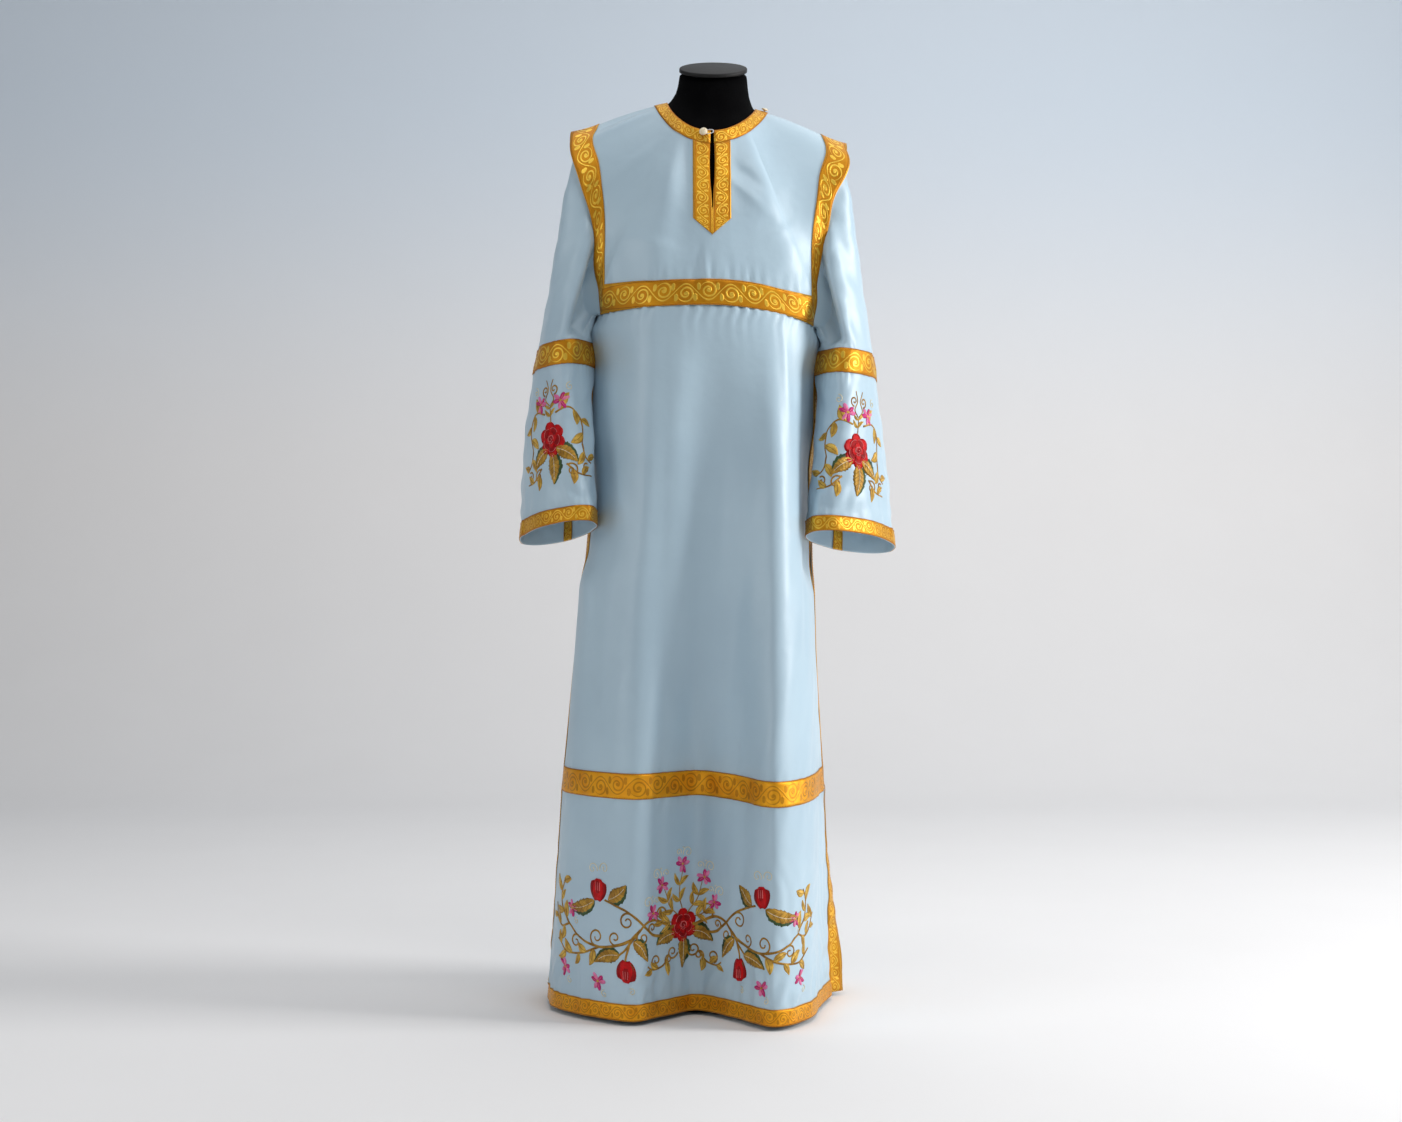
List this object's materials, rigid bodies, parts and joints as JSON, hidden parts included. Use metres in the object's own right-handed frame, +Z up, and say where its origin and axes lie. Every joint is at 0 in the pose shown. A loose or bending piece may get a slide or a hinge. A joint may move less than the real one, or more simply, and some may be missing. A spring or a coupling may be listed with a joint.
{
  "type": "sticharion on a limbless dress form with a stand",
  "caption": "Long wide-sleeved church vestment in pale blue satin with gold galloon and embroidery, hanging open at neck, cuffs and hem on a black limbless dress form.",
  "frame": {"origin": "on the underside of the base plate, on the axis of the pole", "axes": "+Z up along the pole, -Y out of the garment's front, +X to the viewer's right"},
  "size_m": [0.5875, 0.425, 1.4773],
  "materials": {
    "satin": "pale blue satin with a soft sheen",
    "galloon": "woven gold galloon with a scroll pattern",
    "button": "pearly cream, domed",
    "loop_cord": "silver-white twisted cord",
    "form_jersey": "matte black jersey stretched over the form",
    "stand_metal": "black powder coat"
  },
  "bodies": {
    "root": {"front_panel": "satin", "back_panel": "satin", "front_yoke": "satin", "back_yoke": "satin", "sleeve_left": "satin", "sleeve_right": "satin", "collar_band": "galloon", "placket": "galloon", "chest_band_front": "galloon", "chest_band_back": "galloon", "armhole_trim_left": "galloon", "armhole_trim_right": "galloon", "lower_band_front": "galloon", "lower_band_back": "galloon", "hem_band_front": "galloon", "hem_band_back": "galloon", "side_trim_front_left": "galloon", "side_trim_front_right": "galloon", "side_trim_back_left": "galloon", "side_trim_back_right": "galloon", "elbow_band_left": "galloon", "elbow_band_right": "galloon", "cuff_band_left": "galloon", "cuff_band_right": "galloon", "sleeve_strip_left": "galloon", "sleeve_strip_right": "galloon", "collar_button": "button", "shoulder_button": "button", "button_loop": "loop_cord", "form_torso": "form_jersey", "form_neck_cap": "form_jersey", "form_pole": "stand_metal", "form_base": "stand_metal"}
  },
  "joints": []
}
